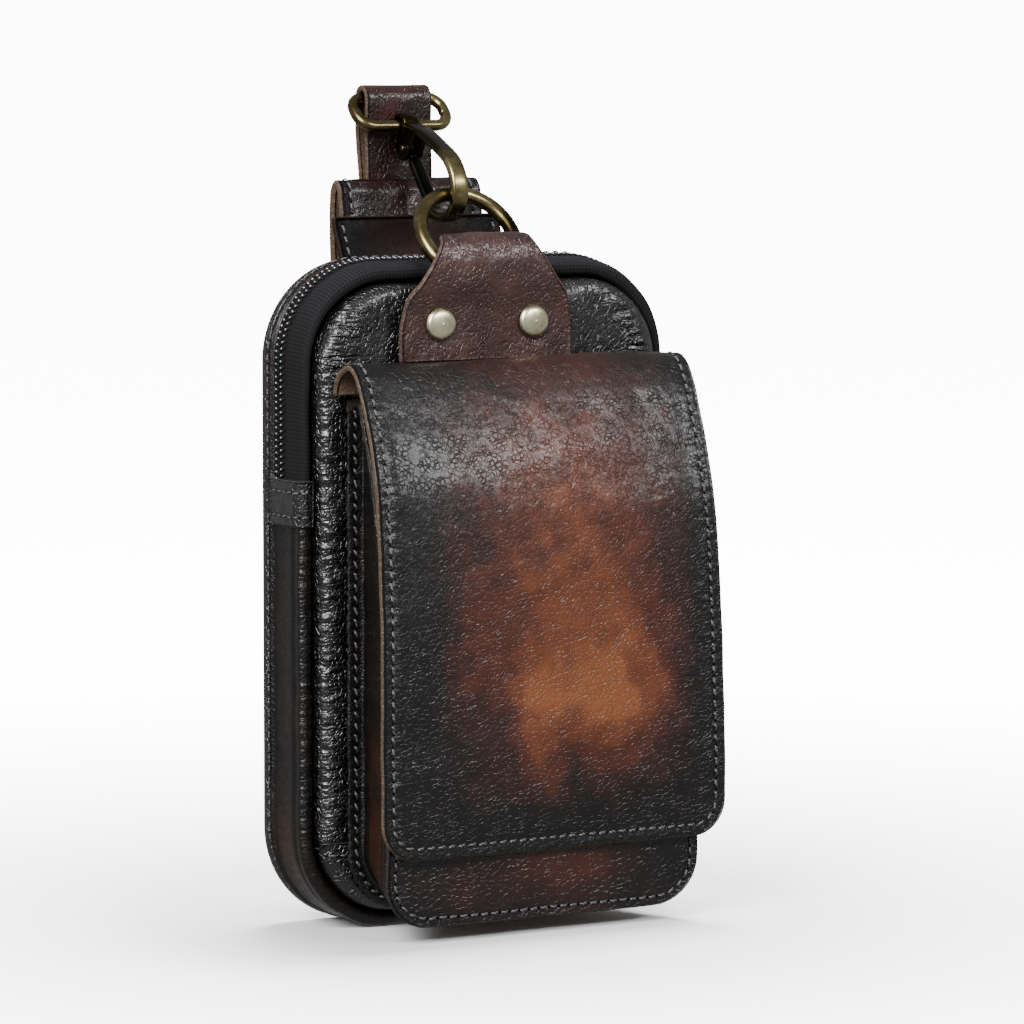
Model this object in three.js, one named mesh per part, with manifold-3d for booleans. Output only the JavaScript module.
// Leather belt bag: a zipped main compartment with a rolled front edge, a front pouch under a long
// flap, a riveted tab with a ring, a snap hook, and a belt loop with a ringed hanger strap behind.
// Millimetres, +Z up, +Y to the back. Depths and heights count from the rolled front edge and from
// the floor, and at the end all moves so that the origin is the middle of the bounding box's base.
import * as THREE from 'three';
import { mergeVertices } from 'three/addons/utils/BufferGeometryUtils.js';
import Module from 'manifold-3d';

const wasm = await Module();
wasm.setup();

// Fit between touching pieces
const GAP = 0.3;

// Main compartment
const BODY_WIDTH = 114.4;
const BODY_HEIGHT = 180;
const BODY_DEPTH = 21.5;      // from the rolled front edge to the rear face
const BODY_CORNER = 27;
const BACK_LEATHER = 3;       // outer leather and lining together
const BACK_WELT = 0.6;        // how far the rear seam stands out from the gusset
const WELT_WIDTH = 1.8;
const SEAM_FLANGE = 5;        // turned-in edge that the back panel is sewn to
const GUSSET_LEATHER = 1.5;
const ROLL_RADIUS = 2.1;      // rolled front edge of the gusset
const ROLL_START = 0.5;       // depth of the roll's front
const ROLL_TURN_IN = 2;

// Front panel, which bulges out of the rolled edge
const FRONT_SIDE = 4.5;       // from the body's outline in to the panel's, at each side
const FRONT_BOTTOM = 4.5;
const FRONT_HEAD = 6;         // the same over its top
const FRONT_WIDTH = BODY_WIDTH - 2 * FRONT_SIDE;
const FRONT_TOP = BODY_HEIGHT - FRONT_HEAD;
const FRONT_CORNER = 23;
const FRONT_LEATHER = 1.5;
const FRONT_BULGE = 3.1;      // how far its middle stands in front of the rolled edge
const FRONT_TUCK = 4.8;       // how far its rim reaches back into the groove
const FRONT_EASE = 10;        // from its rim in to where it is nearly flat
const BASE_SEAM = 24.4;       // height of the seam of the lower front band

// Zip
const ZIP_BELOW = 58.8;       // from the top of the main compartment down to both ends of the zip
const ZIP_LEVEL = BODY_HEIGHT - ZIP_BELOW;
const CHAIN_WIDTH = 6;
const CHAIN_THICK = 1.8;
const CHAIN_REAR = 15.2;      // depth of the chain's rear edge
const CHAIN_PROUD = 0.2;
const TAPE_THICK = 1;
const PATCH_DROP = 11.6;      // how far the end patches reach below the end of the zip
const PATCH_RISE = 0.8;
const PATCH_LEATHER = 0.9;
const PATCH_WRAP = 115;       // degrees that the end patches reach round the rolled edge
const SLIDER_LENGTH = 9;
const SLIDER_WIDTH = 7.6;
const SLIDER_THICK = 2.6;
const SLIDER_RISE = 12;       // height of the slider above the end of the zip
const PULL_LENGTH = 22;
const PULL_WIDTH = 5;
const PULL_THICK = 1.4;

// Front pouch
const POUCH_X = 0.3;          // sideways place of the pouch on the front
const POUCH_BASE_WIDTH = 81.8;
const POUCH_BASE_BOTTOM = 10.5;
const POUCH_BASE_CORNER = 12;
const POUCH_WIDTH = 96.4;
const POUCH_BOTTOM = 4.6;
const POUCH_CORNER = 13;
const POUCH_BELOW = 36.5;     // from the top of the main compartment down to the pouch's mouth
const POUCH_TOP = BODY_HEIGHT - POUCH_BELOW;
const POUCH_REACH = 28.1;     // from the front panel to the pouch's fullest line
const POUCH_LEATHER = 1.3;
const POUCH_CROWN = 0.8;
const POUCH_INSET = 0.2;      // how far the gusset's front edge lies inside the front's edge
const POUCH_WAIST = 0.7;      // how far the gusset is drawn in halfway
const FLANGE_WIDTH = 4.8;

// Flap
const FLAP_X = 1.5;
const FLAP_PAST = 3.3;        // how far the flap stands out past each side of the pouch
const FLAP_WIDTH = POUCH_WIDTH + 2 * FLAP_PAST;
const FLAP_SPREAD = 3;        // how much wider the flap is at its lower part
const FLAP_BOTTOM = 23.6;
const FLAP_RISE = 10.7;       // from the pouch's mouth to the top of the fold
const FLAP_TOP = POUCH_TOP + FLAP_RISE;
const FLAP_CORNER = 10;
const FLAP_LEATHER = 1.6;
const FLAP_STAND = 3.7;       // how far its fullest line stands before the pouch's
const FLAP_REACH = POUCH_REACH + FLAP_STAND;
const FLAP_CROWN = 0.6;
const SNAP_RADIUS = 6;
const SNAP_HEIGHT = 45;

// Tab, rivets and round ring
const TAB_X = -4;
const TAB_WIDTH = 53;         // at its lower edge
const TAB_TUCK = 1.4;         // how far its lower edge is tucked behind the flap's fold
const TAB_RISE = 7;           // how far its fold stands above the main compartment
const TAB_BOTTOM = FLAP_TOP - TAB_TUCK;
const TAB_TOP = BODY_HEIGHT + TAB_RISE;
const TAB_LEATHER = 1.6;
const RIVET_SPACING = 28.7;
const RIVET_RISE = 10.2;      // from the tab's lower edge to the rivets
const RIVET_HEIGHT = TAB_BOTTOM + RIVET_RISE;
const RIVET_CAP = 4.5;
const RIVET_DOME = 1.7;
const RIVET_SHANK = 1.3;
const RIVET_BACK = 3.5;
const RIVET_FOOT = 1;
const RIVET_SEAT = 0.8;       // from the tab's lowest part to the underside of the caps
const RING_OUTER = 32;
const RING_WIRE = 4;
const RING_LEAN = 38;         // degrees from upright, towards the back
const RING_DROP = 12;         // how far the wire inside the tab lies under the fold

// Snap hook
const HOOK_WIDTH = 5;
const HOOK_THICK = 2.6;
const HOOK_REACH = 29.7;      // from the eye forward to the middle of the bend
const HOOK_DROP = 24.3;       // from the eye down to the middle of the bow
const BOW_BEFORE = 3.76;      // how far the bow reaches before the wire that it holds, and under it
const BOW_UNDER = 6.56;
const EYE_WALL = 1.6;
const EYE_PLAY = 0.4;
const PIVOT_REACH = 2;
const PIVOT_DROP = 6.1;
const CHEEK_THICK = 1;
const CHEEK_RADIUS = 3.3;
const CHEEK_FROM = -170;      // degrees over which each cheek is round
const CHEEK_TO = 20;
const PIN_RADIUS = 0.9;
const PIN_PROUD = 0.3;
const GATE_THICK = 2.2;
const GATE_WIDTH = 4;
const GATE_BOSS = 2;
const GATE_SHORT = 0.5;       // space left between the gate's tip and the nose

// Oblong ring and hanger strap
const OBLONG_WIDTH = 31;
const OBLONG_WIRE = 3.2;
const OBLONG_CORNER = 4.5;
const OBLONG_LEAN = 7.4;      // how far the lower bar hangs forward and down
const OBLONG_FALL = 7.6;
const HANGER_WIDTH = 20.6;
const HANGER_LEATHER = 1.6;
const HANGER_TAIL = 31;       // how far its lower end stays above the belt loop's

// Belt loop and the patch under it
const LOOP_X = -4.5;
const LOOP_WIDTH = 44.5;
const LOOP_LEATHER = 2.3;
const LOOP_UNDER = 14.2;      // how far its fold lies under the oblong ring's lower bar
const LOOP_LENGTH = 81.6;
const LOOP_BEFORE = 4.4;      // how far its rear face lies before the oblong ring's upper bar
const MOUNT_WIDTH = 52;
const MOUNT_SHORT = 10;       // how far the patch's top stays under the loop's
const MOUNT_PAST = 7;         // how far it reaches below the loop
const MOUNT_LEATHER = 1.8;
const MOUNT_LEAN = 9.2;       // how far the patch's free top leans back

// Facets
const ARC_STEPS = 8;          // in a quarter turn of an outline's corner
const SIDE_STEPS = 4;         // along a straight side of an outline
const ROLL_STEPS = 5;
const STRAP_STEPS = 22;       // along a bent strap
const CORNER_STEPS = 6;
const WIRE_SIDES = 8;
const RING_STEPS = 28;
const ROUND_STEPS = 20;

const BODY = {
  half: BODY_WIDTH / 2, low: 0, high: BODY_HEIGHT, lowCorner: BODY_CORNER, highCorner: BODY_CORNER,
};
const BACK = { ...BODY, half: BODY.half + BACK_WELT };
const FRONT = {
  half: FRONT_WIDTH / 2, low: FRONT_BOTTOM, high: FRONT_TOP,
  lowCorner: FRONT_CORNER, highCorner: FRONT_CORNER,
};
const SEAT = BODY_DEPTH - BACK_LEATHER;        // front face of the back panel
const WELT_FRONT = SEAT - GAP - WELT_WIDTH;
const ROLL_MIDDLE = ROLL_START + ROLL_RADIUS;
const FACE = -FRONT_BULGE;                     // front of the front panel's middle
const FACE_BACK = FACE + FRONT_LEATHER;

// The fastened chain: the round ring in the tab's fold, the hook on its highest wire, the oblong
// ring in the hook's eye, and the loop and its strap under and behind that.
const RING_SPAN = RING_OUTER - RING_WIRE;
const RING_LOW_Y = FACE - 1.6 * GAP - TAB_LEATHER;
const RING_LOW_Z = TAB_TOP - RING_DROP;
const RING_TILT = RING_LEAN * Math.PI / 180;
const EYE_Y = RING_LOW_Y + RING_SPAN * Math.sin(RING_TILT) + HOOK_REACH - BOW_BEFORE;
const EYE_Z = RING_LOW_Z + RING_SPAN * Math.cos(RING_TILT) + HOOK_DROP - BOW_UNDER;
const OBLONG_DEPTH = EYE_Y + OBLONG_LEAN;      // place of its upper bar, in the strap's fold
const OBLONG_HEIGHT = EYE_Z + OBLONG_FALL;
const LOOP_TOP = EYE_Z - LOOP_UNDER;
const LOOP_LOW = LOOP_TOP - LOOP_LENGTH;
const LOOP_DEPTH = OBLONG_DEPTH - LOOP_BEFORE;
const HANGER_END = LOOP_LOW + HANGER_TAIL;
const MOUNT_TOP = LOOP_TOP - MOUNT_SHORT;
const MOUNT_LOW = LOOP_LOW - MOUNT_PAST;

const FINISH = {
  blackLeather: { color: 0x1d191a, roughness: 0.42, metalness: 0 },
  brownLeather: { color: 0x5a2d19, roughness: 0.4, metalness: 0 },
  tabLeather: { color: 0x3b2422, roughness: 0.48, metalness: 0 },
  strapLeather: { color: 0x321819, roughness: 0.42, metalness: 0 },
  tape: { color: 0x29292d, roughness: 0.9, metalness: 0 },
  coil: { color: 0x121214, roughness: 0.4, metalness: 0 },
  brass: { color: 0x7c744d, roughness: 0.3, metalness: 1 },
  paleBrass: { color: 0xcfc8a4, roughness: 0.28, metalness: 1 },
  gunmetal: { color: 0x26262a, roughness: 0.35, metalness: 1 },
};

const mix = (a, b, t) => a + (b - a) * t;
const rad = (degrees) => degrees * Math.PI / 180;
const evenly = (steps) => Array.from({ length: steps + 1 }, (_, i) => i / steps);

// Stations of half a rounded rectangle, each with its outward normal. Both halves start at the
// height `cut` on the left side and end there on the right side, the lower one under the bottom
// and the upper one over the top.
function halfOutline(shape, cut, lower) {
  const corner = lower ? shape.lowCorner : shape.highCorner;
  const way = lower ? -1 : 1;
  const centre = (lower ? shape.low : shape.high) - way * corner;
  const list = [];
  const side = (x, from, to) => {
    for (let i = 0; i < SIDE_STEPS; i++) {
      list.push({ x, z: mix(from, to, i / SIDE_STEPS), nx: Math.sign(x), nz: 0 });
    }
  };
  const turn = (left) => {
    const x = (left ? -1 : 1) * (shape.half - corner);
    for (let i = 0; i <= ARC_STEPS; i++) {
      const angle = rad(90 * i / ARC_STEPS);
      const nx = left ? -Math.cos(angle) : Math.sin(angle);
      const nz = way * (left ? Math.sin(angle) : Math.cos(angle));
      list.push({ x: x + corner * nx, z: centre + corner * nz, nx, nz });
    }
  };
  side(-shape.half, cut, centre);
  turn(true);
  turn(false);
  list.push(...sideUp(shape.half, centre, cut));
  return list;
}

// The right side of an outline, from the end of its corner to the cut.
function sideUp(x, centre, cut) {
  const list = [];
  for (let i = 1; i <= SIDE_STEPS; i++) {
    list.push({ x, z: mix(centre, cut, i / SIDE_STEPS), nx: 1, nz: 0 });
  }
  return list;
}

function wholeOutline(shape, cut) {
  const lower = halfOutline(shape, cut, true);
  const upper = halfOutline(shape, cut, false).reverse();
  return lower.concat(upper.slice(1, -1));
}

// A profile point set at one station: `share` of the way from outline a to outline b, `inset`
// inwards along a's normal, at depth `y`, which may be a function of the height.
function placed(a, b, [share, inset, y]) {
  const z = mix(a.z, b.z, share) - inset * a.nz;
  return new THREE.Vector3(mix(a.x, b.x, share) - inset * a.nx, typeof y === 'number' ? y : y(z), z);
}

// A closed body through equal rings of points. Its two end rings are capped by the triangles of
// the ring drawn flat, and a closed row of rings needs no caps.
function loft(rings, flat) {
  const count = rings[0].length;
  const steps = flat ? rings.length - 1 : rings.length;
  const index = [];
  for (let i = 0; i < steps; i++) {
    const a = i * count;
    const b = ((i + 1) % rings.length) * count;
    for (let j = 0; j < count; j++) {
      const k = (j + 1) % count;
      index.push(a + j, b + j, b + k, a + j, b + k, a + k);
    }
  }
  if (flat) {
    const far = steps * count;
    const turning = Math.sign(THREE.ShapeUtils.area(flat));
    for (const [p, q, r] of THREE.ShapeUtils.triangulateShape(flat, [])) {
      const same = Math.sign(THREE.ShapeUtils.area([flat[p], flat[q], flat[r]])) === turning;
      const [s, t] = same ? [q, r] : [r, q];
      index.push(p, s, t, far + p, far + t, far + s);
    }
  }
  const geometry = new THREE.BufferGeometry();
  const position = rings.flat().flatMap((p) => [p.x, p.y, p.z]);
  geometry.setAttribute('position', new THREE.Float32BufferAttribute(position, 3));
  geometry.setIndex(index);
  return outward(geometry);
}

// Turns the faces of a closed body outwards, which its signed volume tells.
function outward(geometry) {
  const p = geometry.getAttribute('position');
  const index = geometry.getIndex().array;
  const [a, b, c] = [new THREE.Vector3(), new THREE.Vector3(), new THREE.Vector3()];
  let volume = 0;
  for (let i = 0; i < index.length; i += 3) {
    a.fromBufferAttribute(p, index[i]);
    b.fromBufferAttribute(p, index[i + 1]);
    c.fromBufferAttribute(p, index[i + 2]);
    volume += a.dot(b.cross(c));
  }
  for (let i = 0; volume < 0 && i < index.length; i += 3) {
    [index[i + 1], index[i + 2]] = [index[i + 2], index[i + 1]];
  }
  geometry.computeVertexNormals();
  return geometry;
}

// A band with one profile all along a row of stations, with flat ends.
function band(profile, a, b = a) {
  const rings = a.map((station, i) => profile.map((row) => placed(station, b[i], row)));
  return loft(rings, rings[0].map((p) => new THREE.Vector2(p.x, p.y)));
}

// A shell or plate whose outline steps inwards and in depth by the rows of a profile.
function dish(rows, a, b) {
  const rings = rows.map((row) => a.map((station, i) => placed(station, b[i], row)));
  return loft(rings, a.map((s) => new THREE.Vector2(s.x, s.z)));
}

const smooth = (rows) => {
  const line = rows.map((row) => new THREE.Vector3(...row));
  const curve = new THREE.CatmullRomCurve3(line, false, 'centripetal');
  curve.arcLengthDivisions = 40 * rows.length;
  return curve;
};

// Shares of a curve's length that crowd together where it bends: each step takes an equal part of
// the length and of the turning together.
function bendShares(curve, steps) {
  const fine = 30 * steps;
  const ways = evenly(fine).map((share) => curve.getTangentAt(share));
  const sum = [0];
  const turning = 2.2 * steps / fine;
  for (let i = 1; i <= fine; i++) {
    sum.push(sum[i - 1] + turning / steps + ways[i].angleTo(ways[i - 1]));
  }
  return evenly(steps).map((share) => sum.findIndex((w) => w >= share * sum[fine] - 1e-9) / fine);
}

// A smooth line through rows of half width, depth and height, at shares of its length.
function along(rows, shares) {
  const curve = smooth(rows);
  const picked = typeof shares === 'number' ? bendShares(curve, shares) : shares;
  return picked.map((share) => ({ at: curve.getPointAt(share), way: curve.getTangentAt(share) }));
}

// A strap bent in the YZ plane: a section of the strap's thickness at each point, `columns` faces
// wide, whose edges curl by `curl` to the inside of the bend.
function strap(points, thick, x, { columns = 1, curl = 0 } = {}) {
  const across = evenly(columns).map((share) => 2 * share - 1);
  const rings = points.map(({ at, way }) => {
    const size = Math.hypot(way.y, way.z);
    const [ny, nz] = [-way.z / size, way.y / size];
    const row = (offset, order) => order.map((u) => {
      const out = offset + curl * u * u;
      return new THREE.Vector3(x + u * at.x, at.y + ny * out, at.z + nz * out);
    });
    return [...row(thick / 2, across), ...row(-thick / 2, [...across].reverse())];
  });
  const flat = [...across.map((u) => [u, 1]), ...[...across].reverse().map((u) => [u, -1])];
  return loft(rings, flat.map(([u, side]) => new THREE.Vector2(u * 10, side - u * u * curl)));
}

// Points of a strap whose far end has rounded corners.
function roundEnded(rows, corner, steps) {
  const curve = smooth(rows);
  const length = curve.getLength();
  const straight = bendShares(curve, steps).map((share) => share * (1 - corner / length));
  const turned = evenly(CORNER_STEPS).slice(1).map((share) => rad(90 * share));
  const points = along(rows, [...straight, ...turned.map((a) => 1 - corner * (1 - Math.sin(a)) / length)]);
  turned.forEach((a, i) => {
    points[straight.length + i].at.x -= corner * (1 - Math.cos(a));
  });
  return points;
}

// A round wire bent into a closed flat loop, in the plane across `normal`.
function wireLoop(points, normal, radius) {
  const rings = points.map((p, i) => {
    const next = points[(i + 1) % points.length];
    const last = points[(i + points.length - 1) % points.length];
    const side = next.clone().sub(last).normalize().cross(normal);
    return evenly(WIRE_SIDES).slice(1).map((share) => {
      const angle = rad(360 * (share + 0.5 / WIRE_SIDES));
      return p.clone()
        .addScaledVector(normal, radius * Math.cos(angle))
        .addScaledVector(side, radius * Math.sin(angle));
    });
  });
  return loft(rings);
}

// A round bar or disc along an axis, from one end to the other.
function bar(axis, from, to, radius) {
  const geometry = new THREE.CylinderGeometry(radius, radius, from.distanceTo(to), ROUND_STEPS);
  geometry.applyQuaternion(new THREE.Quaternion().setFromUnitVectors(new THREE.Vector3(0, 1, 0), axis));
  return geometry.translate(...from.clone().lerp(to, 0.5));
}

function solid(geometry) {
  const bare = geometry.clone();
  bare.deleteAttribute('normal');
  if (bare.hasAttribute('uv')) bare.deleteAttribute('uv');
  const merged = mergeVertices(bare, 1e-4);
  return new wasm.Manifold(new wasm.Mesh({
    numProp: 3,
    vertProperties: Float32Array.from(merged.getAttribute('position').array),
    triVerts: Uint32Array.from(merged.getIndex().array),
  }));
}

function surface(body) {
  const mesh = body.getMesh();
  const geometry = new THREE.BufferGeometry();
  geometry.setAttribute('position', new THREE.Float32BufferAttribute(mesh.vertProperties, 3));
  geometry.setIndex(Array.from(mesh.triVerts));
  geometry.computeVertexNormals();
  return geometry;
}

const bag = new THREE.Group();

function add(name, geometry, finish) {
  const mesh = new THREE.Mesh(geometry, new THREE.MeshStandardMaterial(FINISH[finish]));
  mesh.name = name;
  bag.add(mesh);
}

const pin = (y, z) => new THREE.Vector3(TAB_X, y, z);

// Main compartment

function backPanel() {
  const outline = wholeOutline(BACK, ZIP_LEVEL);
  const edge = BACK_LEATHER / 4;
  return dish([[0, edge / 2, SEAT], [0, 0, SEAT + edge], [0, 0, BODY_DEPTH - edge], [0, edge, BODY_DEPTH]],
    outline, outline);
}

// The gusset strip round the sides and the bottom: rear welt, wall, rolled front edge, and a
// turned-in flange behind.
function lowerGusset() {
  const roll = (radius) => evenly(ROLL_STEPS).map((share) => {
    const angle = rad(180 * share);
    return [0, ROLL_RADIUS - radius * Math.cos(angle), ROLL_MIDDLE - radius * Math.sin(angle)];
  });
  const turned = ROLL_MIDDLE + ROLL_TURN_IN;
  const outer = roll(ROLL_RADIUS);
  const inner = roll(ROLL_RADIUS - GUSSET_LEATHER).reverse();
  const profile = [
    [1, 0, SEAT - GAP], [1, 0, WELT_FRONT], [0, 0, WELT_FRONT - BACK_WELT],
    ...outer,
    [0, 2 * ROLL_RADIUS, turned],
    [0, 2 * ROLL_RADIUS - GUSSET_LEATHER, turned],
    ...inner,
    [0, GUSSET_LEATHER, SEAT - GAP - GUSSET_LEATHER],
    [0, SEAM_FLANGE, SEAT - GAP - GUSSET_LEATHER],
    [0, SEAM_FLANGE, SEAT - GAP],
  ];
  const cut = ZIP_LEVEL - GAP / 2;
  return band(profile, halfOutline(BODY, cut, true), halfOutline(BACK, cut, true));
}

// The leather strip between the back panel and the zip's coil.
function upperGusset() {
  const front = CHAIN_REAR + GAP;
  const profile = [
    [1, 0, SEAT - GAP], [1, 0, WELT_FRONT], [0, 0, WELT_FRONT - BACK_WELT],
    [0, 0, front], [0, GUSSET_LEATHER, front],
    [0, GUSSET_LEATHER, SEAT - GAP - GUSSET_LEATHER],
    [0, SEAM_FLANGE, SEAT - GAP - GUSSET_LEATHER], [0, SEAM_FLANGE, SEAT - GAP],
  ];
  const cut = ZIP_LEVEL + GAP / 2;
  return band(profile, halfOutline(BODY, cut, false), halfOutline(BACK, cut, false));
}

function zipChain() {
  const profile = [
    [0, -CHAIN_PROUD, CHAIN_REAR], [0, -CHAIN_PROUD, CHAIN_REAR - CHAIN_WIDTH],
    [0, CHAIN_THICK - CHAIN_PROUD, CHAIN_REAR - CHAIN_WIDTH], [0, CHAIN_THICK - CHAIN_PROUD, CHAIN_REAR],
  ];
  return band(profile, halfOutline(BODY, ZIP_LEVEL + GAP / 2, false));
}

// The zip's cloth tape, which rolls over from the coil to the groove round the front panel. Its
// columns are the share of the way from the body's outline to the front panel's, the inset and
// the depth as a share of the coil's front edge.
const TAPE_ROLL = [
  { share: 0.02, inset: 0.4, depth: 1 },
  { share: 0.06, inset: 0.15, depth: 0.68 },
  { share: 0.2, inset: 0.1, depth: 0.34 },
  { share: 0.48, inset: 0, depth: 0.1 },
  { share: 0.74, inset: 0, depth: 0.14 },
  { share: 0.88, inset: 0, depth: 0.34 },
  { share: 0.9, inset: 0, depth: 0.56 },
];

function zipTape() {
  const front = CHAIN_REAR - CHAIN_WIDTH - GAP;
  const outer = TAPE_ROLL.map(({ share, inset, depth }) => [share, inset, depth * front]);
  const flatRow = outer.map(([share, inset, y]) => [share * (BODY.half - FRONT.half) + inset, y]);
  const inner = outer.map(([share, inset, y], i) => {
    const before = flatRow[Math.max(i - 1, 0)];
    const after = flatRow[Math.min(i + 1, flatRow.length - 1)];
    const [dx, dy] = [after[0] - before[0], after[1] - before[1]];
    const size = Math.hypot(dx, dy);
    return [share, inset - TAPE_THICK * dy / size, y + TAPE_THICK * dx / size];
  });
  const cut = ZIP_LEVEL + GAP / 2;
  return band([...outer, ...inner.reverse()], halfOutline(BODY, cut, false), halfOutline(FRONT, cut, false));
}

// A leather patch folded over one end of the zip, round the rolled edge.
function zipEnd(side) {
  const over = (offset) => evenly(ROLL_STEPS).map((share) => {
    const angle = rad(PATCH_WRAP * share);
    const radius = ROLL_RADIUS + offset;
    return [0, ROLL_RADIUS - radius * Math.cos(angle), ROLL_MIDDLE - radius * Math.sin(angle)];
  });
  const rear = WELT_FRONT - BACK_WELT - GAP;
  const seat = GAP + CHAIN_PROUD;
  const inner = over(seat);
  const outer = over(seat + PATCH_LEATHER).reverse();
  const profile = [[0, -seat, rear], ...inner, ...outer, [0, -seat - PATCH_LEATHER, rear]];
  const x = side * BODY.half;
  const heights = [ZIP_LEVEL - PATCH_DROP, ZIP_LEVEL + PATCH_RISE];
  return band(profile, heights.map((z) => ({ x, z, nx: side, nz: 0 })));
}

function zipSlider() {
  const x = BODY.half + CHAIN_PROUD + GAP;
  const y = CHAIN_REAR - CHAIN_WIDTH / 2;
  const z = ZIP_LEVEL + SLIDER_RISE;
  const block = new THREE.BoxGeometry(SLIDER_THICK, SLIDER_WIDTH, SLIDER_LENGTH);
  block.translate(x + SLIDER_THICK / 2, y, z);
  const pull = new THREE.BoxGeometry(PULL_THICK, PULL_WIDTH, PULL_LENGTH);
  pull.translate(x + SLIDER_THICK, y, z - PULL_LENGTH / 2);
  return surface(solid(block).add(solid(pull)));
}

// Front panel: a dished shell. Its columns are the inset as a share of the width over which it
// rises, and the depth, from 0 at the rolled edge to 1 at the middle.
const FRONT_DISH = [
  { inset: 0.005, depth: -0.72 },
  { inset: 0.005, depth: -0.3 },
  { inset: 0.04, depth: 0.15 },
  { inset: 0.12, depth: 0.5 },
  { inset: 0.27, depth: 0.73 },
  { inset: 0.5, depth: 0.86 },
  { inset: 1, depth: 0.93 },
];
const FRONT_MIDDLE = { share: 0.6, inset: 0.4 };   // where its flat middle starts

function frontShell() {
  const outline = wholeOutline(FRONT, ZIP_LEVEL);
  const middle = (FRONT_BOTTOM + FRONT_TOP) / 2;
  const centre = outline.map((s) => ({ x: 0, z: mix(middle, s.z, 0.4), nx: 0, nz: 0 }));
  const front = [
    [0, 0, FRONT_TUCK],
    ...FRONT_DISH.map(({ inset, depth }) => [0, inset * FRONT_EASE, -depth * FRONT_BULGE]),
    [FRONT_MIDDLE.share, FRONT_MIDDLE.inset * FRONT_EASE, FACE],
  ];
  const back = front.map(([share, inset, y], i) => {
    const [s0, i0, y0] = front[Math.max(i - 1, 0)];
    const [s1, i1, y1] = front[Math.min(i + 1, front.length - 1)];
    const dx = (s1 - s0) * FRONT.half + i1 - i0;
    const size = Math.hypot(dx, y1 - y0);
    return [share, inset - FRONT_LEATHER * (y1 - y0) / size, y + FRONT_LEATHER * dx / size];
  });
  return solid(dish([...back.reverse(), ...front], outline, centre));
}

function slab(low, high) {
  const box = new THREE.BoxGeometry(2 * BODY_WIDTH, 4 * BODY_DEPTH, high - low);
  return solid(box.translate(0, 0, (low + high) / 2));
}

function rivetHoles() {
  return [-1, 1].map((side) => {
    const x = TAB_X + side * RIVET_SPACING / 2;
    const from = new THREE.Vector3(x, -BODY_DEPTH, RIVET_HEIGHT);
    const to = new THREE.Vector3(x, BODY_DEPTH / 2, RIVET_HEIGHT);
    return solid(bar(new THREE.Vector3(0, 1, 0), from, to, RIVET_SHANK + GAP));
  });
}

function frontPanel() {
  let panel = frontShell().intersect(slab(BASE_SEAM + GAP / 2, BODY_HEIGHT));
  for (const hole of rivetHoles()) panel = panel.subtract(hole);
  return surface(panel);
}

function frontBase() {
  return surface(frontShell().intersect(slab(0, BASE_SEAM - GAP / 2)));
}

// Front pouch. The columns of its front line are the reach from the front panel, as a share of the
// full reach, and the height, as a share from its bottom to its top.
const POUCH_LINE = [
  { reach: 0.47, height: 1 },
  { reach: 0.584, height: 0.932 },
  { reach: 0.715, height: 0.86 },
  { reach: 0.836, height: 0.759 },
  { reach: 0.929, height: 0.629 },
  { reach: 0.979, height: 0.485 },
  { reach: 1, height: 0.327 },
  { reach: 0.993, height: 0.168 },
  { reach: 0.964, height: 0.053 },
  { reach: 0.935, height: 0 },
];

const pouchHeight = (share) => mix(POUCH_BOTTOM, POUCH_TOP, share);

// Depth of the middle of the pouch's front leather at a height.
function pouchDepth(z) {
  const rows = POUCH_LINE.map(({ reach, height }) => [FACE - reach * POUCH_REACH, pouchHeight(height)]);
  const last = rows.length - 1;
  const i = Math.min(Math.max(rows.findIndex((row) => row[1] <= z), 1), last);
  const [[y0, z0], [y1, z1]] = [rows[i - 1], rows[i]];
  return mix(y0, y1, Math.min(Math.max((z - z0) / (z1 - z0), 0), 1));
}

function pouchFront() {
  const rows = POUCH_LINE.map(({ reach, height }) => (
    [POUCH_WIDTH / 2, FACE - reach * POUCH_REACH, pouchHeight(height)]));
  return strap(roundEnded(rows, POUCH_CORNER, STRAP_STEPS), POUCH_LEATHER, POUCH_X,
    { columns: 4, curl: POUCH_CROWN });
}

function pouchGusset() {
  const base = {
    half: POUCH_BASE_WIDTH / 2, low: POUCH_BASE_BOTTOM, high: POUCH_TOP,
    lowCorner: POUCH_BASE_CORNER, highCorner: POUCH_BASE_CORNER,
  };
  const front = {
    half: POUCH_WIDTH / 2 - POUCH_INSET, low: POUCH_BOTTOM + POUCH_INSET, high: POUCH_TOP,
    lowCorner: POUCH_CORNER, highCorner: POUCH_CORNER,
  };
  const shift = (stations) => stations.map((s) => ({ ...s, x: s.x + POUCH_X }));
  const root = FACE - GAP;
  const edge = (z) => pouchDepth(z) + POUCH_CROWN + POUCH_LEATHER / 2 + GAP;
  const half = (z) => mix(root, edge(z), 0.5);
  const profile = [
    [0, -FLANGE_WIDTH, root], [0, -FLANGE_WIDTH, root - POUCH_LEATHER],
    [0, -POUCH_LEATHER / 2, root - POUCH_LEATHER], [0.5, POUCH_WAIST, half], [1, 0, edge],
    [1, POUCH_LEATHER, edge], [0.5, POUCH_WAIST + POUCH_LEATHER, half],
    [0, POUCH_LEATHER / 2, root - POUCH_LEATHER], [0, POUCH_LEATHER / 2, root],
  ];
  return band(profile, shift(halfOutline(base, POUCH_TOP, true)), shift(halfOutline(front, POUCH_TOP, true)));
}

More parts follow.
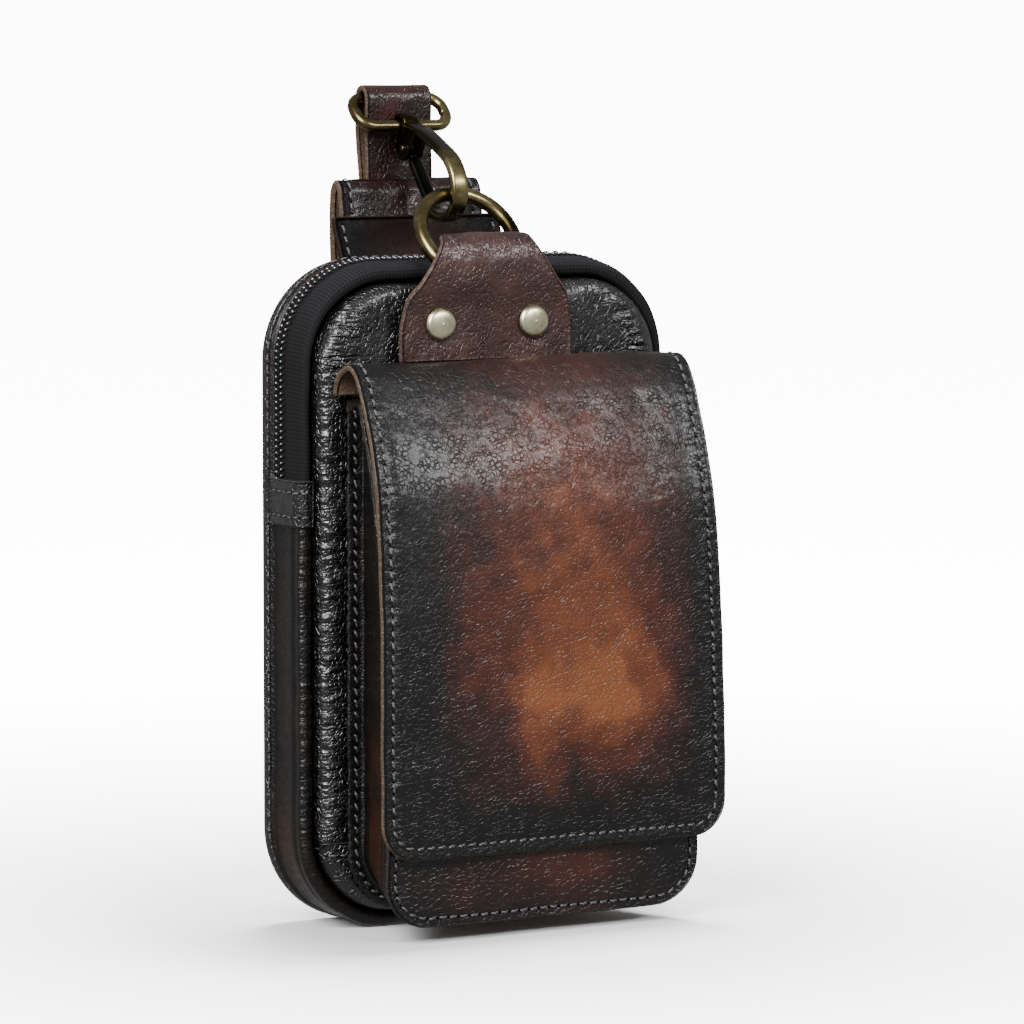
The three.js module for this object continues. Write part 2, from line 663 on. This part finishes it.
// Flap. The columns of its line are the reach from the front panel, as a share of the full reach,
// the height, as a share from its lower edge to its top, and the share of its extra width.
const FLAP_LINE = [
  { reach: 0.052, height: 0.934, spread: 0 },
  { reach: 0.06, height: 0.952, spread: 0 },
  { reach: 0.105, height: 0.974, spread: 0 },
  { reach: 0.204, height: 0.991, spread: 0 },
  { reach: 0.33, height: 1, spread: 0 },
  { reach: 0.45, height: 0.985, spread: 0 },
  { reach: 0.56, height: 0.944, spread: 0 },
  { reach: 0.66, height: 0.886, spread: 0 },
  { reach: 0.758, height: 0.82, spread: 0.05 },
  { reach: 0.852, height: 0.728, spread: 0.2 },
  { reach: 0.921, height: 0.612, spread: 0.45 },
  { reach: 0.969, height: 0.419, spread: 0.8 },
  { reach: 1, height: 0.18, spread: 1 },
  { reach: 0.99, height: 0, spread: 1 },
];

function flap() {
  const top = FLAP_TOP - FLAP_LEATHER / 2;
  const rows = FLAP_LINE.map(({ reach, height, spread }) => (
    [(FLAP_WIDTH + spread * FLAP_SPREAD) / 2, FACE - reach * FLAP_REACH, mix(FLAP_BOTTOM, top, height)]));
  return strap(roundEnded(rows, FLAP_CORNER, STRAP_STEPS + 8), FLAP_LEATHER, FLAP_X,
    { columns: 4, curl: FLAP_CROWN });
}

// The hidden snap between the flap and the pouch, one plain disc.
function flapSnap() {
  const inner = FACE - FLAP_REACH + FLAP_LEATHER / 2 + 1.4 * GAP;
  const outer = pouchDepth(SNAP_HEIGHT) - POUCH_LEATHER / 2 - GAP;
  const from = new THREE.Vector3(FLAP_X, inner, SNAP_HEIGHT);
  const to = new THREE.Vector3(FLAP_X, outer, SNAP_HEIGHT);
  return bar(new THREE.Vector3(0, 1, 0), from, to, SNAP_RADIUS);
}

// Tab: one strip through the ring. Its columns are the width as a share of its bottom width, the
// reach forward from the wire it passes round, as a share of PAST_WIRE, and the height as a share
// of the tab's. The rear leg narrows to a tongue where it passes through the ring.
const REAR_LEG = FACE - GAP - TAB_LEATHER / 2;
const FRONT_LEG = REAR_LEG - TAB_LEATHER - GAP;
const PAST_WIRE = RING_WIRE / 2 + GAP + TAB_LEATHER / 2;
const TAB_LINE = [
  { width: 0.8, reach: -0.33, height: 0 },
  { width: 0.8, reach: -0.33, height: 0.2 },
  { width: 0.76, reach: -0.33, height: 0.38 },
  { width: 0.238, reach: -0.455, height: 0.49 },
  { width: 0.17, reach: -0.71, height: 0.57 },
  { width: 0.17, reach: -1.065, height: 0.625 },
  { width: 0.17, reach: -1.242, height: 0.69 },
  { width: 0.17, reach: -1.258, height: 0.76 },
  { width: 0.17, reach: -1.065, height: 0.87 },
  { width: 0.212, reach: -0.6, height: 0.955 },
  { width: 0.502, reach: -0.129, height: 0.977 },
  { width: 0.532, reach: 0.5, height: 0.94 },
  { width: 0.653, reach: 1.032, height: 0.8 },
  { width: 0.811, reach: 1.048, height: 0.62 },
  { width: 0.92, reach: 0.742, height: 0.52 },
  { width: 0.96, reach: 0.419, height: 0.42 },
  { width: 1, reach: 0.284, height: 0.25 },
  { width: 1, reach: 0.284, height: 0 },
];

function tab() {
  const rows = TAB_LINE.map(({ width, reach, height }) => (
    [width * TAB_WIDTH / 2, RING_LOW_Y - reach * PAST_WIRE, mix(TAB_BOTTOM, TAB_TOP, height)]));
  let leather = solid(strap(along(rows, 2 * STRAP_STEPS), TAB_LEATHER, TAB_X));
  for (const hole of rivetHoles()) leather = leather.subtract(hole);
  return surface(leather);
}

// A rivet with a domed cap, a shank through the tab and the front panel, and a flat inner head.
// The columns of its dome are shares of the cap's radius and of the dome's height.
const RIVET_LINE = [
  { radius: 1, rise: 0 },
  { radius: 1, rise: 0.24 },
  { radius: 0.87, rise: 0.55 },
  { radius: 0.6, rise: 0.84 },
  { radius: 0.3, rise: 0.97 },
  { radius: 0, rise: 1 },
];

function rivet(side) {
  const head = -(FRONT_LEG - TAB_LEATHER / 2 - RIVET_SEAT);
  const back = -(FACE_BACK + 2 * GAP);
  const inside = back - RIVET_FOOT;
  const profile = [
    [0, inside], [RIVET_BACK, inside], [RIVET_BACK, back], [RIVET_SHANK, back], [RIVET_SHANK, head],
    ...RIVET_LINE.map(({ radius, rise }) => [radius * RIVET_CAP, head + rise * RIVET_DOME]),
  ];
  const turned = new THREE.LatheGeometry(profile.map(([r, h]) => new THREE.Vector2(r, h)), ROUND_STEPS);
  turned.rotateX(Math.PI);
  return turned.translate(TAB_X + side * RIVET_SPACING / 2, 0, RIVET_HEIGHT);
}

function ring() {
  const radius = RING_SPAN / 2;
  const up = new THREE.Vector3(0, Math.sin(RING_TILT), Math.cos(RING_TILT));
  const normal = new THREE.Vector3(0, -up.z, up.y);
  const centre = pin(RING_LOW_Y, RING_LOW_Z).addScaledVector(up, radius);
  const points = evenly(RING_STEPS).slice(1).map((share) => {
    const angle = rad(360 * share);
    return centre.clone().addScaledVector(up, radius * Math.cos(angle))
      .add(new THREE.Vector3(radius * Math.sin(angle), 0, 0));
  });
  return wireLoop(points, normal, RING_WIRE / 2);
}

// Snap hook. The columns of its bow are shares of the reach forward and the drop from the eye.
const HOOK_LINE = [
  { reach: 0.09, drop: 0 },
  { reach: 0.34, drop: 0.066 },
  { reach: 0.64, drop: 0.218 },
  { reach: 0.86, drop: 0.362 },
  { reach: 0.976, drop: 0.547 },
  { reach: 1, drop: 0.733 },
  { reach: 0.963, drop: 0.889 },
  { reach: 0.848, drop: 0.979 },
  { reach: 0.697, drop: 1 },
  { reach: 0.562, drop: 0.955 },
  { reach: 0.498, drop: 0.881 },
];

const EYE_HOLE = OBLONG_WIRE / 2 + EYE_PLAY;
const PIVOT_Y = EYE_Y - PIVOT_REACH;
const PIVOT_Z = EYE_Z - PIVOT_DROP;
const SIDEWAYS = new THREE.Vector3(1, 0, 0);

const hookRows = () => HOOK_LINE.map(({ reach, drop }) => (
  [HOOK_WIDTH / 2, EYE_Y - reach * HOOK_REACH, EYE_Z - drop * HOOK_DROP]));

// A round bar across the hook, centred on it.
function crossBar(y, z, width, radius) {
  const half = new THREE.Vector3(width / 2, 0, 0);
  return solid(bar(SIDEWAYS, pin(y, z).sub(half), pin(y, z).add(half), radius));
}

// A flat plate in the YZ plane across the hook, from a row of [y, z] corners.
function sidePlate(corners, x, thick) {
  const shape = new THREE.Shape(corners.map(([y, z]) => new THREE.Vector2(y, z)));
  const geometry = new THREE.ExtrudeGeometry(shape, { depth: thick, bevelEnabled: false });
  const turn = new THREE.Matrix4().makeBasis(
    new THREE.Vector3(0, 1, 0), new THREE.Vector3(0, 0, 1), new THREE.Vector3(1, 0, 0));
  return solid(geometry.applyMatrix4(turn).translate(x - thick / 2, 0, 0));
}

function cheek(side) {
  const round = evenly(ARC_STEPS).map((share) => {
    const angle = rad(mix(CHEEK_FROM, CHEEK_TO, share));
    return [PIVOT_Y + CHEEK_RADIUS * Math.cos(angle), PIVOT_Z + CHEEK_RADIUS * Math.sin(angle)];
  });
  const corners = [...round, [EYE_Y - EYE_WALL / 3, EYE_Z - EYE_HOLE - EYE_WALL / 3],
    [EYE_Y - 0.26 * HOOK_REACH, EYE_Z - 0.05 * HOOK_DROP]];
  return sidePlate(corners, TAB_X + side * (HOOK_WIDTH - CHEEK_THICK) / 2, CHEEK_THICK);
}

function hookBody() {
  const bow = solid(strap(along(hookRows(), STRAP_STEPS), HOOK_THICK, TAB_X));
  const eye = crossBar(EYE_Y, EYE_Z, HOOK_WIDTH, EYE_HOLE + EYE_WALL);
  return surface(bow.add(eye).add(cheek(-1)).add(cheek(1))
    .subtract(crossBar(EYE_Y, EYE_Z, 3 * HOOK_WIDTH, EYE_HOLE))
    .subtract(crossBar(PIVOT_Y, PIVOT_Z, 3 * HOOK_WIDTH, PIN_RADIUS + GAP)));
}

function hookPin() {
  return surface(crossBar(PIVOT_Y, PIVOT_Z, HOOK_WIDTH + 2 * PIN_PROUD, PIN_RADIUS));
}

// The spring gate: a boss between the cheeks and a wider lever that closes against the nose.
function hookGate() {
  const [, tipY, tipZ] = hookRows().at(-1);
  const reach = Math.hypot(PIVOT_Y - tipY, PIVOT_Z - tipZ);
  const way = [(tipY - PIVOT_Y) / reach, (tipZ - PIVOT_Z) / reach];
  const side = [-way[1] * GATE_THICK / 2, way[0] * GATE_THICK / 2];
  const lever = (from, to, width) => sidePlate([
    [PIVOT_Y + way[0] * from - side[0], PIVOT_Z + way[1] * from - side[1]],
    [PIVOT_Y + way[0] * to - side[0], PIVOT_Z + way[1] * to - side[1]],
    [PIVOT_Y + way[0] * to + side[0], PIVOT_Z + way[1] * to + side[1]],
    [PIVOT_Y + way[0] * from + side[0], PIVOT_Z + way[1] * from + side[1]],
  ], TAB_X, width);
  const slot = HOOK_WIDTH - 2 * CHEEK_THICK - 2 * GAP;
  const shoulder = CHEEK_RADIUS + GAP;
  return surface(crossBar(PIVOT_Y, PIVOT_Z, slot, GATE_BOSS)
    .add(lever(0, shoulder + GATE_THICK / 2, slot))
    .add(lever(shoulder, reach - GATE_SHORT, GATE_WIDTH))
    .subtract(crossBar(PIVOT_Y, PIVOT_Z, 3 * HOOK_WIDTH, PIN_RADIUS + GAP)));
}

// Oblong ring: its upper bar lies in the hanger strap's fold, its lower bar holds the hook.
function oblongRing() {
  const fall = new THREE.Vector3(0, -OBLONG_LEAN, -OBLONG_FALL);
  const tall = fall.length();
  const down = fall.clone().normalize();
  const half = (OBLONG_WIDTH - OBLONG_WIRE) / 2;
  const shape = { half, low: 0, high: tall, lowCorner: OBLONG_CORNER, highCorner: OBLONG_CORNER };
  const normal = new THREE.Vector3().crossVectors(SIDEWAYS, down);
  const outline = wholeOutline(shape, tall / 2).filter((s, i, all) => {
    const next = all[(i + 1) % all.length];
    return Math.hypot(s.x - next.x, s.z - next.z) > 1e-3;
  });
  const points = outline.map((s) => (
    pin(OBLONG_DEPTH, OBLONG_HEIGHT).addScaledVector(down, s.z).add(new THREE.Vector3(s.x, 0, 0))));
  return wireLoop(points, normal, OBLONG_WIRE / 2);
}

// Belt loop and base patch behind the main compartment

// The patch under the loop: sewn flat to the back panel, with a free top that leans back.
const MOUNT_Y = BODY_DEPTH + GAP + MOUNT_LEATHER / 2;
const MOUNT_LINE = [
  { height: 0, lean: 0 },
  { height: 0.52, lean: 0 },
  { height: 0.6, lean: 0.01 },
  { height: 0.74, lean: 0.14 },
  { height: 0.87, lean: 0.56 },
  { height: 0.965, lean: 0.92 },
  { height: 1, lean: 1 },
];

// Depth and height of the patch's middle at a row of its line, or of a layer behind it.
function mountAt(i, behind = 0) {
  const at = ({ height, lean }) => [MOUNT_Y + lean * MOUNT_LEAN, mix(MOUNT_LOW, MOUNT_TOP, height)];
  const [y0, z0] = at(MOUNT_LINE[Math.max(i - 1, 0)]);
  const [y1, z1] = at(MOUNT_LINE[Math.min(i + 1, MOUNT_LINE.length - 1)]);
  const size = Math.hypot(y1 - y0, z1 - z0);
  const [y, z] = at(MOUNT_LINE[i]);
  return [y + behind * (z1 - z0) / size, z - behind * (y1 - y0) / size];
}

function loopPatch() {
  const rows = MOUNT_LINE.map((_, i) => [MOUNT_WIDTH / 2, ...mountAt(i)]);
  return strap(along(rows, STRAP_STEPS / 2), MOUNT_LEATHER, LOOP_X);
}

// Belt loop. Its front leg lies on the patch, and the columns of its fold and rear leg are the
// share of the way from the patch back to the rear leg, and the height as a share of the loop's.
const LOOP_LINE = [
  { back: 0.703, height: 0.92 },
  { back: 0.744, height: 0.966 },
  { back: 0.851, height: 0.986 },
  { back: 0.959, height: 0.966 },
  { back: 1, height: 0.92 },
  { back: 1, height: 0.81 },
  { back: 0.93, height: 0.6 },
  { back: 0.8, height: 0.36 },
  { back: 0.5, height: 0.14 },
  { back: 0.28, height: 0.05 },
  { back: 0.137, height: 0 },
];
const LOOP_STAND = (MOUNT_LEATHER + LOOP_LEATHER) / 2 + 1.3 * GAP;
const LOOP_FOOT = 0.11;       // share of the loop's height at which its front leg ends

function beltLoop() {
  const half = LOOP_WIDTH / 2;
  const rear = LOOP_DEPTH - LOOP_LEATHER / 2;
  const front = MOUNT_LINE.slice(1, -1).map((_, i) => [half, ...mountAt(i + 1, LOOP_STAND)]);
  const rows = [
    [half, MOUNT_Y + LOOP_STAND, mix(LOOP_LOW, LOOP_TOP, LOOP_FOOT)], ...front,
    ...LOOP_LINE.map(({ back, height }) => (
      [half, mix(MOUNT_Y, rear, back), mix(LOOP_LOW, LOOP_TOP, height)])),
  ];
  return strap(along(rows, 2 * STRAP_STEPS), LOOP_LEATHER, LOOP_X);
}

// Hanger strap: two layers joined behind the belt loop, folded over the oblong ring's upper bar.
// Its columns are the depth behind that bar, as a share of the fold's radius, and the height as a
// share of the way from the strap's end to the bar.
const HANGER_LINE = [
  { back: -1.87, height: 0 },
  { back: -1.315, height: 0.25 },
  { back: -1.167, height: 0.48 },
  { back: -1.167, height: 0.7 },
  { back: -1, height: 0.88 },
  { back: -1, height: 1 },
  { back: -0.7, height: 1.027 },
  { back: 0, height: 1.037 },
  { back: 0.7, height: 1.027 },
  { back: 1, height: 1 },
  { back: 0.97, height: 0.86 },
  { back: 0.27, height: 0.69 },
  { back: -0.426, height: 0.5 },
  { back: -0.593, height: 0.25 },
  { back: -1.13, height: 0 },
];

function hangerStrap() {
  const fold = OBLONG_WIRE / 2 + GAP + HANGER_LEATHER / 2;
  const rows = HANGER_LINE.map(({ back, height }) => (
    [HANGER_WIDTH / 2, OBLONG_DEPTH + back * fold, mix(HANGER_END, OBLONG_HEIGHT, height)]));
  return strap(along(rows, 2 * STRAP_STEPS), HANGER_LEATHER, TAB_X);
}

add('back_panel', backPanel(), 'blackLeather');
add('gusset_lower', lowerGusset(), 'blackLeather');
add('gusset_upper', upperGusset(), 'brownLeather');
add('zip_tape', zipTape(), 'tape');
add('zip_chain', zipChain(), 'coil');
add('zip_end_left', zipEnd(-1), 'blackLeather');
add('zip_end_right', zipEnd(1), 'blackLeather');
add('zip_slider', zipSlider(), 'brass');
add('front_panel', frontPanel(), 'blackLeather');
add('front_base', frontBase(), 'blackLeather');
add('pouch_gusset', pouchGusset(), 'blackLeather');
add('pouch_front', pouchFront(), 'blackLeather');
add('flap', flap(), 'brownLeather');
add('flap_snap', flapSnap(), 'brass');
add('ring_tab', tab(), 'tabLeather');
add('rivet_left', rivet(-1), 'paleBrass');
add('rivet_right', rivet(1), 'paleBrass');
add('round_ring', ring(), 'brass');
add('hook_body', hookBody(), 'brass');
add('hook_gate', hookGate(), 'gunmetal');
add('hook_pin', hookPin(), 'brass');
add('oblong_ring', oblongRing(), 'brass');
add('hanger_strap', hangerStrap(), 'strapLeather');
add('belt_loop', beltLoop(), 'strapLeather');
add('loop_patch', loopPatch(), 'blackLeather');

const box = new THREE.Box3().setFromObject(bag);
const middle = box.getCenter(new THREE.Vector3());
for (const mesh of bag.children) mesh.geometry.translate(-middle.x, -middle.y, -box.min.z);

export default bag;
